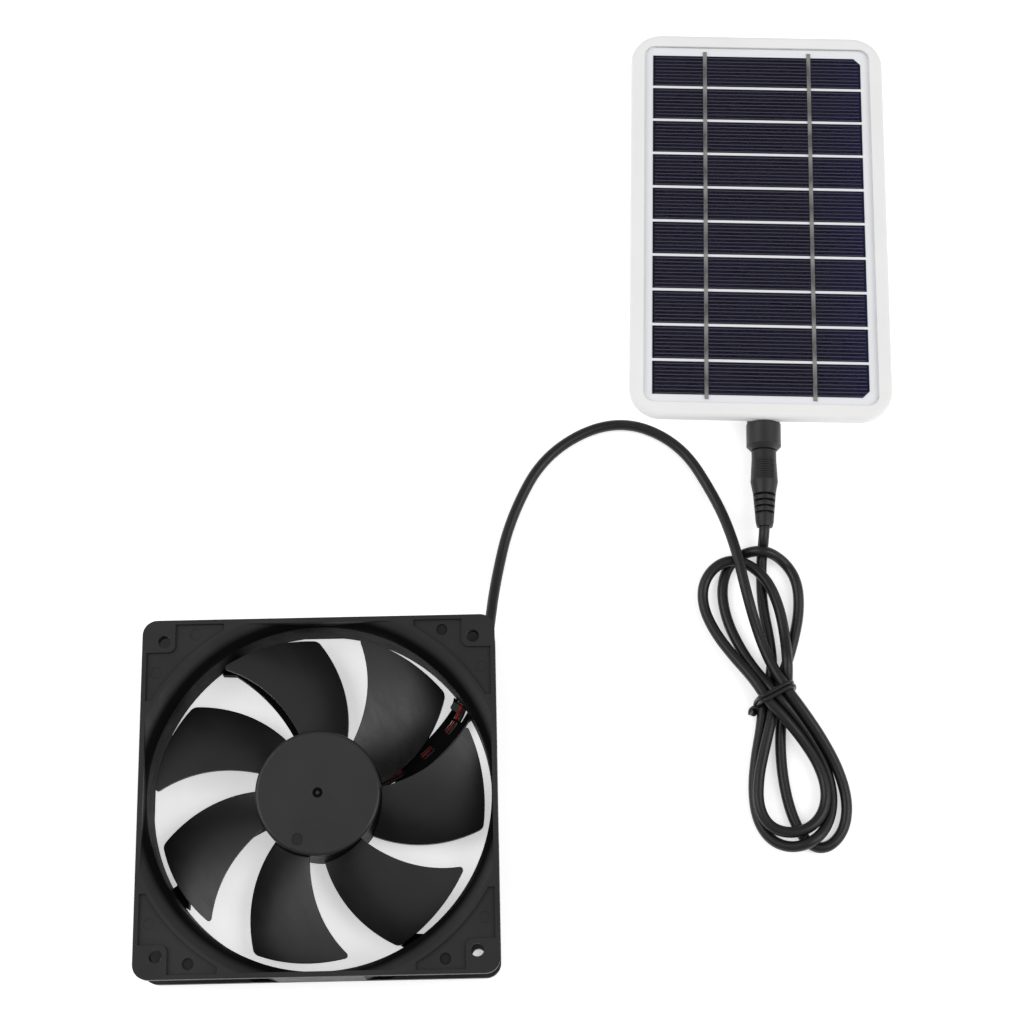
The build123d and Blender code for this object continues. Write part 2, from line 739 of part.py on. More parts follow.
clamp_spot = strut_arc @ CLAMP_AT
clamp_way = strut_arc % CLAMP_AT
with BuildPart() as wire_clip:
    with BuildSketch(Plane.XY.offset(STRUT_H)):
        slant = math.degrees(math.atan2(clamp_way.Y, clamp_way.X))
        spot = (clamp_spot.X - CLAMP_SHIFT, clamp_spot.Y + CLAMP_SHIFT, 0)
        with Locations(Location(spot, (0, 0, slant))):
            RectangleRounded(2.6, 3.4, 0.6)
    extrude(amount=CLAMP_T)
save(wire_clip, "wire_clip")

with BuildPart() as cord_grommet:
    with BuildSketch(GROMMET_PLANE):
        Circle(GROMMET_R)
        Circle(CORD_D / 2, mode=Mode.SUBTRACT)
    extrude(amount=GROMMET_L)
    fillet(cord_grommet.edges().filter_by(GeomType.CIRCLE).sort_by(SortBy.RADIUS)[-2:], 0.3)
save(cord_grommet, "cord_grommet")

# ================================================================ hank and tie
WAIST = Plane(
    origin=WAIST_AT,
    x_dir=(math.cos(math.radians(WAIST_ANGLE)), math.sin(math.radians(WAIST_ANGLE)), 0),
    z_dir=(-math.sin(math.radians(WAIST_ANGLE)), math.cos(math.radians(WAIST_ANGLE)), 0),
)

with BuildPart() as cord_hank:
    for lobe in (LOWER_LOBE, UPPER_LOBE):
        with BuildSketch(Plane.XY.offset(HANK_LOW)):
            for x, y, radius in lobe:
                with Locations((x, y)):
                    Circle(radius)
            make_hull()
        extrude(amount=HANK_H)
    fillet(cord_hank.faces().filter_by(Axis.Z).edges(), HANK_EDGE_R)
    with BuildSketch(WAIST.offset(-WAIST_L / 2)):
        RectangleRounded(WAIST_W, WAIST_H, WAIST_CORNER_R)
    extrude(amount=WAIST_L)
save(cord_hank, "cord_hank")

with BuildPart() as cable_tie:
    with BuildSketch(WAIST.offset(-TIE_W / 2)):
        RectangleRounded(WAIST_W + 2 * TIE_T, WAIST_H + 2 * TIE_T, WAIST_CORNER_R + TIE_T)
        RectangleRounded(WAIST_W, WAIST_H, WAIST_CORNER_R, mode=Mode.SUBTRACT)
    extrude(amount=TIE_W)
    for turn in (-TAIL_TURN, TAIL_TURN):
        tail_root = WAIST.from_local_coords((-WAIST_W / 2 - TIE_T / 3, 0, 0))
        tail = Plane(origin=tail_root, z_dir=-WAIST.x_dir).rotated((0, turn, 0))
        with BuildSketch(tail):
            Circle(TAIL_R)
        extrude(amount=TAIL_L)
save(cable_tie, "cable_tie")

# ================================================================ cord
path = cord_path(FAN_CORD_ROUTE)
with BuildPart() as fan_cord:
    with BuildSketch(Plane(origin=path @ 0, z_dir=path % 0)):
        Circle(CORD_D / 2)
    sweep(path=path)
    add(cord_hank.part, mode=Mode.SUBTRACT)
save(fan_cord, "fan_cord")

# ================================================================ plug
with BuildPart() as plug_sleeve:
    sleeve_outline = [
        (INSULATOR_R, SLEEVE_START + 0.1),
        (PLUG_BARREL_R - 0.3, SLEEVE_START - 0.4),
        (PLUG_BARREL_R, SLEEVE_START),
        (PLUG_BARREL_R, SLEEVE_END),
        (INSULATOR_R, SLEEVE_END),
    ]
    add(turned(sleeve_outline))
save(plug_sleeve, "plug_sleeve")


def tube_outline(bore_r, outer_r):
    """The half profile of a tube inside the plug's sleeve."""
    start = SLEEVE_START + 0.2
    return [(bore_r, start), (outer_r, start), (outer_r, SLEEVE_END), (bore_r, SLEEVE_END)]


with BuildPart() as plug_insulator:
    add(turned(tube_outline(CONTACT_R, INSULATOR_R)))
save(plug_insulator, "plug_insulator")

with BuildPart() as plug_contact:
    add(turned(tube_outline(CONTACT_BORE_R, CONTACT_R)))
save(plug_contact, "plug_contact")

# The moulded body: a neck, a grip that swells towards the cord, and a slotted strain relief.
plug_face = JACK_FACE + 0.1
body_outline = [
    (PLUG_BARREL_R, plug_face),
    (NECK_R - 0.3, plug_face),
    (NECK_R, plug_face + 0.4),
    (NECK_R, NECK_END),
    (GRIP_R - 0.1, GRIP_END - 1.4),
    (GRIP_R, GRIP_END),
    (GRIP_R - 0.2, GRIP_END + 1.1),
    (4.1, 25.8),
    (3.2, 36.6),
    (2.8, PLUG_END),
    (0, PLUG_END),
    (0, SLEEVE_END),
    (PLUG_BARREL_R, SLEEVE_END),
]
with BuildPart() as plug_body:
    add(turned(body_outline))
    # Fine ribs across the top and the bottom of the grip.
    for number in range(RIB_COUNT):
        start = RIB_START + RIB_PITCH * number
        grip_r = NECK_R + (GRIP_R - NECK_R) * (start - NECK_END) / (GRIP_END - NECK_END)
        with BuildSketch(JACK_AXIS.offset(start)):
            Circle(grip_r + RIB_H)
            Rectangle(RIB_W, 2 * (GRIP_R + RIB_H), mode=Mode.INTERSECT)
            Circle(grip_r - RIB_H, mode=Mode.SUBTRACT)
        extrude(amount=RIB_T)
    for slot in range(SLOT_COUNT):
        with BuildSketch(JACK_AXIS.offset(SLOT_START + SLOT_PITCH * slot)):
            Circle(JACK_R)
            Rectangle(2 * JACK_R, SLOT_WEB_W, mode=Mode.SUBTRACT)
            Circle(SLOT_CORE_R, mode=Mode.SUBTRACT)
        extrude(amount=SLOT_T, mode=Mode.SUBTRACT)
save(plug_body, "plug_body")

with BuildPart() as plug_cord:
    with BuildSketch(JACK_AXIS.offset(PLUG_END)):
        Circle(CORD_D / 2)
    extrude(amount=PLUG_CORD_L)
    add(cord_hank.part, mode=Mode.SUBTRACT)
save(plug_cord, "plug_cord")

# ================================================================ panel
rim_h = RIM_TOP - RIM_LOW
with BuildPart() as panel_frame:
    with BuildSketch(PANEL.offset(RIM_LOW)):
        RectangleRounded(PANEL_W, PANEL_L, PANEL_CORNER_R)
    extrude(amount=rim_h)
    fillet(panel_frame.edges().group_by(Axis.Z)[-1], RIM_EDGE_R)
    fillet(panel_frame.edges().group_by(Axis.Z)[0], 0.8)
    with BuildSketch(PANEL.offset(LAMINATE_LOW)):
        RectangleRounded(LAMINATE_W, LAMINATE_L, LAMINATE_CORNER_R)
    extrude(amount=rim_h, mode=Mode.SUBTRACT)
    with BuildSketch(PANEL.offset(RIM_LOW)):
        with GridLocations(2 * SCREW_U, 2 * SCREW_V, 2, 2):
            Circle(SCREW_R)
    extrude(amount=2.4, mode=Mode.SUBTRACT)
    with BuildSketch(PANEL.offset(RIM_LOW)):
        with Locations((0, OUTLET_V)):
            RectangleRounded(OUTLET_W, OUTLET_L, OUTLET_L / 3)
    extrude(amount=rim_h, mode=Mode.SUBTRACT)
save(panel_frame, "panel_frame")

with BuildPart() as backsheet:
    with BuildSketch(PANEL.offset(LAMINATE_LOW)):
        RectangleRounded(LAMINATE_W, LAMINATE_L, LAMINATE_CORNER_R)
    extrude(amount=SHEET_T)
save(backsheet, "backsheet")

cell_middles = [FIELD_L / 2 - CELL_H / 2 - index * (CELL_H + CELL_GAP) for index in range(CELL_COUNT)]
for index, middle in enumerate(cell_middles):
    with BuildPart() as solar_cell:
        with BuildSketch(PANEL.offset(CELL_LOW)):
            with Locations((0, middle)):
                Rectangle(CELL_W, CELL_H)
        extrude(amount=CELL_T)
        # The first and last strips come from the wafer's cut corners, at their right-hand ends.
        right_end = solar_cell.edges().filter_by(Axis.Z).group_by(Axis.X)[-2:]
        corners = ShapeList(right_end[0] + right_end[1]).sort_by(Axis.Y)
        if index == 0:
            chamfer(corners[-1], CELL_CHAMFER)
        if index == CELL_COUNT - 1:
            chamfer(corners[0], CELL_CHAMFER)
    save(solar_cell, f"solar_cell_{index + 1}")

for side, label in ((-1, "ribbon_left"), (1, "ribbon_right")):
    with BuildPart() as ribbon:
        with BuildSketch(PANEL.offset(CELL_LOW + CELL_T)):
            with Locations((side * RIBBON_AT, 0)):
                Rectangle(RIBBON_W, FIELD_L + 2 * RIBBON_OVER)
        extrude(amount=RIBBON_T)
    save(ribbon, label)

# The clear layer is moulded over the cells and ribbons, with a thin glue line all round them.
with BuildPart() as front_film:
    with BuildSketch(PANEL.offset(CELL_LOW + GLUE_T)):
        RectangleRounded(LAMINATE_W, LAMINATE_L, LAMINATE_CORNER_R)
    extrude(amount=FILM_T - GLUE_T)
    with BuildSketch(PANEL.offset(CELL_LOW)):
        for middle in cell_middles:
            with Locations((0, middle)):
                Rectangle(CELL_W + 2 * GLUE_T, CELL_H + 2 * GLUE_T)
    extrude(amount=CELL_T + GLUE_T, mode=Mode.SUBTRACT)
    with BuildSketch(PANEL.offset(CELL_LOW)):
        with GridLocations(2 * RIBBON_AT, 0, 2, 1):
            Rectangle(RIBBON_W + 2 * GLUE_T, FIELD_L + 2 * (RIBBON_OVER + GLUE_T))
    extrude(amount=CELL_T + RIBBON_T + GLUE_T, mode=Mode.SUBTRACT)
save(front_film, "front_film")

with BuildPart() as back_case:
    with BuildSketch(PANEL):
        RectangleRounded(CASE_W, CASE_L, CASE_CORNER_R)
    extrude(amount=RIM_LOW)
    fillet(back_case.edges().group_by(Axis.Z)[0], 1.5)
    with BuildSketch(PANEL.offset(CASE_WALL)):
        RectangleRounded(CASE_W - 2 * CASE_WALL, CASE_L - 2 * CASE_WALL, CASE_CORNER_R - CASE_WALL)
    extrude(amount=RIM_LOW, mode=Mode.SUBTRACT)
    with BuildSketch(PANEL.offset(CASE_WALL)):
        with GridLocations(2 * SCREW_U, 2 * SCREW_V, 2, 2):
            Circle(POST_R)
    extrude(amount=RIM_LOW - CASE_WALL)
    with BuildSketch(PANEL):
        with GridLocations(2 * SCREW_U, 2 * SCREW_V, 2, 2):
            Circle(SCREW_R)
    extrude(amount=RIM_LOW, mode=Mode.SUBTRACT)
    with BuildSketch(PANEL):
        with GridLocations(2 * SCREW_U, 2 * SCREW_V, 2, 2):
            Circle(SCREW_HEAD_R + 0.2)
    extrude(amount=SCREW_HEAD_H + SCREW_SUNK, mode=Mode.SUBTRACT)
    with BuildSketch(JACK_AXIS.offset(-6)):
        Circle(JACK_NECK_R)
    extrude(amount=-4, both=True, mode=Mode.SUBTRACT)
save(back_case, "back_case")

with BuildPart() as case_screws:
    with BuildSketch(PANEL.offset(SCREW_SUNK)):
        with GridLocations(2 * SCREW_U, 2 * SCREW_V, 2, 2):
            Circle(SCREW_HEAD_R)
    extrude(amount=SCREW_HEAD_H)
    with BuildSketch(PANEL.offset(SCREW_SUNK)):
        with GridLocations(2 * SCREW_U, 2 * SCREW_V, 2, 2):
            Circle(SCREW_R)
    extrude(amount=RIM_LOW + 1.6)
    with BuildSketch(PANEL.offset(SCREW_SUNK)):
        with GridLocations(2 * SCREW_U, 2 * SCREW_V, 2, 2):
            Rectangle(2.6, 0.6)
            Rectangle(0.6, 2.6)
    extrude(amount=0.7, mode=Mode.SUBTRACT)
save(case_screws, "case_screws")

# ================================================================ output board and jack
with BuildPart() as output_board:
    with BuildSketch(PANEL.offset(CASE_WALL + STANDOFF_H)):
        with Locations((JACK_U, OUTPUT_BOARD_V)):
            Rectangle(OUTPUT_BOARD_W, OUTPUT_BOARD_L)
    extrude(amount=OUTPUT_BOARD_T)
    with BuildSketch(PANEL.offset(CASE_WALL)):
        with Locations((JACK_U, OUTPUT_BOARD_V)):
            with GridLocations(OUTPUT_BOARD_W - 6, OUTPUT_BOARD_L - 6, 2, 2):
                Circle(STANDOFF_R)
    extrude(amount=STANDOFF_H)
save(output_board, "output_board")

board_face = CASE_WALL + STANDOFF_H + OUTPUT_BOARD_T
with BuildPart() as blocking_diode:
    diode_start = PANEL.from_local_coords((JACK_U - 10, OUTPUT_BOARD_V, board_face + DIODE_R + 0.05))
    diode_plane = Plane(origin=diode_start, z_dir=PANEL.x_dir)
    with BuildSketch(diode_plane):
        Circle(DIODE_R)
    extrude(amount=DIODE_L)
    with BuildSketch(diode_plane.offset(-3.0)):
        Circle(0.4)
    extrude(amount=DIODE_L + 6.0)
save(blocking_diode, "blocking_diode")

# The jack comes through the case's end wall, passes under the rim and ends in a round collar.
collar_outline = [
    (0, -2.0),
    (JACK_NECK_R, -2.0),
    (JACK_NECK_R, 0.1),
    (JACK_R, 0.1),
    (JACK_R, JACK_CHAMFER_AT),
    (JACK_FACE_R, JACK_FACE),
    (BARREL_BORE_R, JACK_FACE),
    (BARREL_BORE_R, 0.3),
    (0, 0.3),
]
with BuildPart() as jack_housing:
    add(turned(collar_outline))
    with BuildSketch(JACK_AXIS.offset(-JACK_SHANK_L)):
        Circle(JACK_SHANK_R)
        with Locations((0, RIM_LOW - 0.1 - JACK_Z - JACK_SHANK_R)):
            Rectangle(2 * JACK_SHANK_R, 2 * JACK_SHANK_R, mode=Mode.INTERSECT)
    extrude(amount=JACK_SHANK_L + 0.2)
    with BuildSketch(JACK_AXIS.offset(-2.0)):
        Circle(JACK_NECK_R)
    extrude(amount=-6.0)
    with BuildSketch(JACK_AXIS.offset(-6.4)):
        Rectangle(9.0, 5.8)
    extrude(amount=-JACK_BODY_L)
    with BuildSketch(JACK_AXIS.offset(-6.4 - JACK_BODY_L)):
        Circle(PIN_R)
    extrude(amount=JACK_BODY_L + 8.4, mode=Mode.SUBTRACT)
    with BuildSketch(JACK_AXIS.offset(SPRING_START)):
        with Locations((BARREL_BORE_R + 0.4, 0)):
            Rectangle(1.0, 1.8)
    extrude(amount=6.0, mode=Mode.SUBTRACT)
save(jack_housing, "jack_housing")

with BuildPart() as jack_pin:
    with BuildSketch(JACK_AXIS.offset(PIN_START)):
        Circle(PIN_R)
    extrude(amount=PIN_L)
    chamfer(jack_pin.edges().filter_by(GeomType.CIRCLE).sort_by(Axis.Y)[0], 0.4)
    with BuildSketch(JACK_AXIS.offset(PIN_START - 0.4)):
        Rectangle(1.6, 0.5)
    extrude(amount=-3.0)
    with BuildSketch(JACK_AXIS.offset(PIN_START)):
        Circle(PIN_R)
    extrude(amount=-0.4)
save(jack_pin, "jack_pin")

with BuildPart() as jack_spring:
    with BuildSketch(JACK_AXIS.offset(SPRING_START)):
        with Locations((BARREL_BORE_R + 0.7, 0)):
            Rectangle(SPRING_T, 1.6)
    extrude(amount=5.8)
save(jack_spring, "jack_spring")


def panel_lead(shift, goal):
    """A lead inside the case, from the backsheet's opening to the output board."""
    points = [
        PANEL.from_local_coords((shift, OUTLET_V, LAMINATE_LOW)),
        PANEL.from_local_coords((shift, OUTLET_V, PANEL_LEAD_Z)),
        PANEL.from_local_coords((goal, OUTLET_V + PANEL_LEAD_RUN, PANEL_LEAD_Z)),
        PANEL.from_local_coords((goal, OUTLET_V + PANEL_LEAD_RUN, board_face)),
    ]
    route = cord_path([tuple(point) for point in points])
    with BuildPart() as wire:
        with BuildSketch(Plane(origin=route @ 0, z_dir=route % 0)):
            Circle(LEAD_D / 2)
        sweep(path=route)
    return wire


panel_lead_red = panel_lead(-3.0, -8.0)
save(panel_lead_red, "panel_lead_red")
panel_lead_black = panel_lead(3.0, 9.0)
save(panel_lead_black, "panel_lead_black")
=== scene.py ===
import math
import bpy
import bmesh
import numpy as np
from mathutils import Matrix, Vector


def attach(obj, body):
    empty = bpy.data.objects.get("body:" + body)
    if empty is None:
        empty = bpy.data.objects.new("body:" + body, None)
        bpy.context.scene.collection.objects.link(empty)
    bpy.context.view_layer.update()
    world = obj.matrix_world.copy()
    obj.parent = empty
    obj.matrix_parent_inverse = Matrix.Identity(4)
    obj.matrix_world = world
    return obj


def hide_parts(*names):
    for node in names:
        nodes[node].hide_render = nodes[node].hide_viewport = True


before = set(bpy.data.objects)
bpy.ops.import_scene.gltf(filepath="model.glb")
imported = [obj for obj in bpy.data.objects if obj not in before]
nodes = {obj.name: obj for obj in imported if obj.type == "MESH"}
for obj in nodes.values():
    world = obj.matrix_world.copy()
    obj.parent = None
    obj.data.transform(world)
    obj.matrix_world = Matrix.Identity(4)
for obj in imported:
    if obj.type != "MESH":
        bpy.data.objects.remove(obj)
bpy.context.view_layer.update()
MM = 0.001

# ------------------------------------------------------------------ camera
EYE = (65.34, -109.44, 704.71)
AIM = (66.87, 103.75, 0.0)
LENS = 71.97
SENSOR_W = 36.0
ROLL = -0.797


def make_camera():
    data = bpy.data.cameras.new("camera")
    data.lens = LENS
    data.sensor_width = SENSOR_W
    data.clip_start = 0.01
    data.clip_end = 20.0
    camera = bpy.data.objects.new("camera", data)
    bpy.context.collection.objects.link(camera)
    eye = Vector(EYE) * MM
    look = (Vector(AIM) * MM - eye).normalized()
    turn = look.to_track_quat("-Z", "Y").to_matrix().to_4x4()
    camera.matrix_world = Matrix.Translation(eye) @ turn @ Matrix.Rotation(math.radians(ROLL), 4, "Z")
    bpy.context.scene.camera = camera


make_camera()

# ------------------------------------------------------------------ cord
CORD_D = 3.8
FAN_CORD_ROUTE = [
    (48.9, 32.2, 6.0),
    (55.0, 39.5, 6.0),
    (57.9, 58.0, 8.9),
    (60.4, 77.0, 2.8),
    (66.2, 101.0, 2.0),
    (79.5, 125.5, 2.0),
    (105.0, 138.0, 2.0),
    (128.0, 128.5, 2.0),
    (140.6, 105.0, 3.6),
    (145.6, 86.5, 8.6),
]
RUN_IN = [(148.2, 70.0, 9.2), (151.6, 56.5, 8.2), (155.4, 45.0, 7.6)]
REST = 1.95
RUN_OUT = [
    (157.6, 43.5, REST),
    (156.6, 54.0, REST),
    (154.6, 67.0, REST),
    (154.9, 79.0, REST),
    (155.4, 84.6, 2.6),
]
PLUG_END = [(156.0, 90.4, 6.7), (156.4, 94.2, 6.7)]
TIE_AT = (157.0, 33.7)
TIE_ANGLE = math.radians(27.0)
TIE_PITCH = 3.85
LOW = 2.0
HIGH = 5.8
TURN_POINTS = 15
GAP = 3.6

SETTLE_STEPS = 500
LAST_STEPS = 150
NEIGHBOUR_L = 14.0
NEAR_MARGIN = 1.5
LEAST_PLAN = 0.3
ASIDE_SHARE = 0.3
STEP_GAIN = 1.4
HOLD_PLAN = 0.06
SAG_SHARE = 0.03
SAG_FALL = 0.01


def tie_slot(side, layer):
    x = TIE_AT[0] + side * TIE_PITCH * math.cos(TIE_ANGLE)
    y = TIE_AT[1] + side * TIE_PITCH * math.sin(TIE_ANGLE)
    return (x, y, layer)


def hank_turn(start, end, length, way, out, out_power, back, back_power, lean, heights):
    """One loop of the hank: out along one side, round its far end and back along the other."""
    angle = math.radians(way)
    points = []
    for i in range(2, TURN_POINTS - 1):
        share = i / TURN_POINTS
        t = 2.0 * math.pi * share
        width, power = (out, out_power) if t < math.pi else (back, back_power)
        u = length * (1.0 - math.cos(t)) / 2.0
        v = width * math.sin(t) * math.sin(t / 2.0) ** power + lean * (u / length) ** 2
        x = start[0] + (end[0] - start[0]) * share + u * math.cos(angle) - v * math.sin(angle)
        y = start[1] + (end[1] - start[1]) * share + u * math.sin(angle) + v * math.cos(angle)
        z = float(np.interp(share, np.linspace(0.0, 1.0, len(heights)), heights))
        points.append((x, y, z))
    return points


def hank_points():
    right_high = tie_slot(1.0, HIGH)
    right_low = tie_slot(1.0, LOW)
    middle_high = tie_slot(0.0, HIGH)
    middle_low = tie_slot(0.0, LOW)
    left_high = tie_slot(-1.0, HIGH)
    left_low = tie_slot(-1.0, LOW)
    points = RUN_IN + [right_high]
    points += hank_turn(right_high, right_low, 55.8, -76.6, 16.0, 1.3, 11.0, 0.8, -2.5,
                        (6.2, 5.2, 4.6, 3.2, REST, REST, REST, REST, 2.4))
    points += [right_low]
    points += hank_turn(right_low, left_high, 51.0, 109.0, -14.6, 0.9, -16.6, 1.8, -1.1,
                        (2.4, 5.9, 5.7, 5.2, 5.2, 5.2, 4.0, 5.0, 6.2))
    points += [left_high]
    points += hank_turn(left_high, middle_low, 47.4, -77.5, 17.2, 1.3, 20.0, 1.8, -3.0,
                        (6.2, 6.6, 5.8, 5.6, 5.7, 5.6, 5.7, 5.6, 2.4))
    points += [middle_low]
    points += hank_turn(middle_low, middle_high, 53.4, 95.4, -19.8, 1.3, -17.4, 1.05, -0.1,
                        (2.0, REST, REST, 4.4, 6.0, 2.2, REST, 4.0, 5.8))
    points += [middle_high]
    points += hank_turn(middle_high, left_low, 52.3, -78.5, 17.5, 0.95, 17.8, 1.35, -2.7,
                        (6.2, 3.5, REST, REST, 5.8, 2.2, REST, REST, 2.4))
    points += [left_low]
    return points + RUN_OUT + PLUG_END


def spline_weights(count, steps=10):
    """How much each control point of a clamped quadratic spline counts at each sample along it."""
    rows = []
    for i in range(count - 2):
        for t in np.linspace(0.0, 1.0, steps, endpoint=(i == count - 3)):
            row = np.zeros(count)
            near, far = (1.0 - t) ** 2, t * t
            row[i + 1] += 2.0 * t * (1.0 - t)
            row[i] += near if i == 0 else near / 2.0
            row[i + 1] += 0.0 if i == 0 else near / 2.0
            row[i + 2] += far if i == count - 3 else far / 2.0
            row[i + 1] += 0.0 if i == count - 3 else far / 2.0
            rows.append(row)
    return np.array(rows)


def settle(points, fixed):
    """Lets the hank's strands rest on the table and on each other, with no strand inside another."""
    first = np.array(points, float)
    place = first.copy()
    weights = spline_weights(len(place))
    sums = np.maximum(weights.sum(0), 1e-9)
    line = weights @ place
    along = np.concatenate([[0.0], np.cumsum(np.linalg.norm(np.diff(line, axis=0), axis=1))])
    a, b = np.triu_indices(len(line), 1)
    apart = np.abs(along[a] - along[b]) > NEIGHBOUR_L
    a, b = a[apart], b[apart]
    near = np.hypot(line[a, 0] - line[b, 0], line[a, 1] - line[b, 1]) < GAP + NEAR_MARGIN
    a, b = a[near], b[near]
    over = np.where(line[a, 2] >= line[b, 2], 1.0, -1.0)
    for step in range(SETTLE_STEPS):
        line = weights @ place
        d = line[a] - line[b]
        plan = np.hypot(d[:, 0], d[:, 1])
        short = np.maximum(0.0, np.sqrt(np.maximum(GAP ** 2 - plan ** 2, 0.0)) - d[:, 2] * over)
        touching = short > 0.0
        push = np.zeros_like(line)
        count = np.zeros(len(line))
        lift = (short * over * 0.5)[touching]
        np.add.at(push[:, 2], a[touching], lift)
        np.add.at(push[:, 2], b[touching], -lift)
        aside = ASIDE_SHARE * short * np.minimum(plan / GAP, 1.0) / np.maximum(plan, LEAST_PLAN)
        for axis in (0, 1):
            move = (aside * d[:, axis])[touching]
            np.add.at(push[:, axis], a[touching], move)
            np.add.at(push[:, axis], b[touching], -move)
        np.add.at(count, a, touching)
        np.add.at(count, b, touching)
        push /= np.maximum(count, 1.0)[:, None]
        place += (weights.T @ push) / sums[:, None] * STEP_GAIN
        place[:, :2] += HOLD_PLAN * (first[:, :2] - place[:, :2])
        if step < SETTLE_STEPS - LAST_STEPS:
            sag = np.zeros(len(place))
            sag[1:-1] = (place[:-2, 2] + place[2:, 2]) / 2.0 - place[1:-1, 2]
            place[:, 2] += SAG_SHARE * sag - SAG_FALL
        place[:, 2] = np.maximum(place[:, 2], REST)
        place[:fixed] = first[:fixed]
        place[-2:] = first[-2:]
    return place, weights @ place


cord_route, cord_line = settle(FAN_CORD_ROUTE + hank_points(), len(FAN_CORD_ROUTE))


def tube_curve(name, points, diameter, resolution, sides):
    data = bpy.data.curves.new(name, "CURVE")
    data.dimensions = "3D"
    data.resolution_u = resolution
    data.bevel_depth = diameter / 2.0 * MM
    data.bevel_resolution = sides
    data.use_fill_caps = True
    spline = data.splines.new("NURBS")
    spline.points.add(len(points) - 1)
    for point, place in zip(spline.points, points):
        point.co = (place[0] * MM, place[1] * MM, place[2] * MM, 1.0)
    spline.order_u = 3
    spline.use_endpoint_u = True
    obj = bpy.data.objects.new(name, data)
    bpy.context.collection.objects.link(obj)
    return obj


cord = tube_curve("power_cord", cord_route, CORD_D, resolution=12, sides=8)


# ------------------------------------------------------------------ tie
TIE_WIRE_D = 1.6
TIE_TURN_GAP = 2.3
TAIL_TURNS = 0.5
TAIL_L = 3.0
TAIL_SPREAD = 0.9
TAIL_STEPS = 12
RING_STEPS = 28
TIE_REACH = 12.0


def tie_section():
    """Where the cord's strands pass through the tie: (aside, height) of each, in the tie's plane."""
    side = np.array([math.cos(TIE_ANGLE), math.sin(TIE_ANGLE)])
    normal = np.array([-side[1], side[0]])
    rel = cord_line[:, :2] - np.array(TIE_AT)
    depth = rel @ normal
    across = rel @ side
    found = []
    for i in range(len(depth) - 1):
        if depth[i] * depth[i + 1] <= 0.0 and abs(across[i]) < TIE_REACH:
            t = depth[i] / (depth[i] - depth[i + 1] + 1e-9)
            found.append((across[i] + t * (across[i + 1] - across[i]),
                          cord_line[i, 2] + t * (cord_line[i + 1, 2] - cord_line[i, 2])))
    return np.array(found)


def tie_points():
    """Two turns of wire round the strands, one end twisted with the other at the left."""
    strands = tie_section()
    side = np.array([math.cos(TIE_ANGLE), math.sin(TIE_ANGLE), 0.0])
    normal = np.array([-side[1], side[0], 0.0])
    up = np.array([0.0, 0.0, 1.0])
    centre = np.array([TIE_AT[0], TIE_AT[1], 0.0])
    reach = CORD_D / 2.0 + TIE_WIRE_D / 2.0 - 0.1
    ring = []
    for i in range(RING_STEPS * 2 + 1):
        angle = math.pi + 2.0 * math.pi * i / RING_STEPS
        u = np.array([math.cos(angle), math.sin(angle)])
        best = strands[int(np.argmax(strands @ u))]
        spot = best + reach * u
        spot[1] = max(spot[1], TIE_WIRE_D / 2.0 + 0.02)
        drift = TIE_TURN_GAP * (i / (RING_STEPS * 2) - 0.5) * 1.3
        ring.append(centre + side * spot[0] + up * spot[1] + normal * drift)
    out = -side * 0.93 - normal * 0.36
    tails = ([], [])
    for k, first in enumerate((ring[0], ring[-1])):
        for j in range(1, TAIL_STEPS + 1):
            share = j / TAIL_STEPS
            turn = math.pi * k + 2.0 * math.pi * TAIL_TURNS * share
            spread = TIE_WIRE_D * 0.52 + TAIL_SPREAD * max(0.0, share - 0.5) / 0.5
            axis = (ring[0] + ring[-1]) / 2.0 + out * (0.7 + TAIL_L * share)
            spot = axis + spread * (math.cos(turn) * up + math.sin(turn) * normal)
            spot[2] = max(spot[2], TIE_WIRE_D / 2.0 + 0.05)
            tails[k].append(spot)
    return tails[0][::-1] + ring + tails[1]


tie = tube_curve("twist_tie", tie_points(), TIE_WIRE_D, resolution=6, sides=5)


